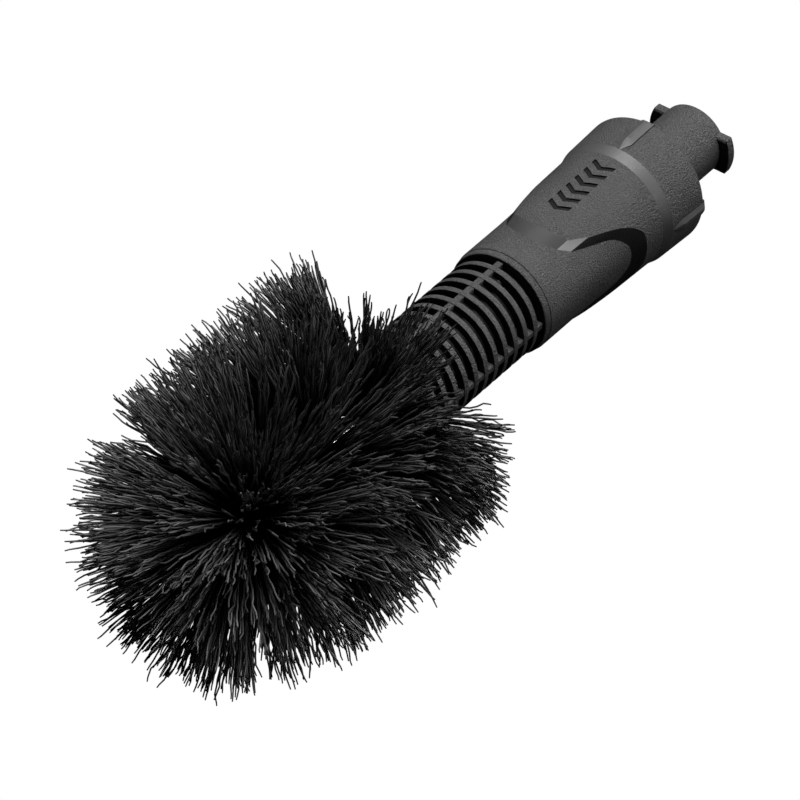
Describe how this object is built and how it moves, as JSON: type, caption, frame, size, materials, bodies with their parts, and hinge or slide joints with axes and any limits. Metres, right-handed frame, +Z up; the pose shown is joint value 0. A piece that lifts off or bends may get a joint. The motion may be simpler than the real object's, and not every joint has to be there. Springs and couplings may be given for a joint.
{
  "type": "wheel brush",
  "caption": "Hand-held wheel-rim brush with a twisted-wire bristle head, ringed neck, tapered grip sleeve and a hollow bayonet stub for a pressure-washer gun.",
  "frame": {"origin": "centre of the bayonet stub's rear rim, where the gun's socket ends", "axes": "+X along the brush's axis out of the stub, away from the bristles; +Z up through the middle of a grip panel; the lugs stand along Y"},
  "size_m": [0.2685, 0.097, 0.097],
  "materials": {
    "plastic": "fine spark-eroded grain",
    "neck_plastic": "fine grain",
    "bristle": "semi-gloss drawn filament",
    "rubber": "smooth",
    "steel": "drawn, satin",
    "brass": "turned"
  },
  "bodies": {
    "root": {"grip_sleeve": "plastic", "bayonet_stub": "plastic", "stub_clip_ring": "steel", "inlet_o_ring": "rubber", "inlet_bush": "plastic", "rear_tube_seal": "rubber", "water_tube": "plastic", "front_tube_seal": "rubber", "distributor": "plastic", "flow_plate": "steel", "neck_cage": "neck_plastic", "cage_snap_ring": "steel", "neck_core": "plastic", "core_screws": "steel", "core_ferrule": "brass", "cross_pin": "steel", "core_wire": "steel", "rear_bristles": "bristle", "bristles_turn_1": "bristle", "bristles_turn_2": "bristle", "bristles_turn_3": "bristle", "tip_bristles": "bristle"}
  },
  "joints": []
}
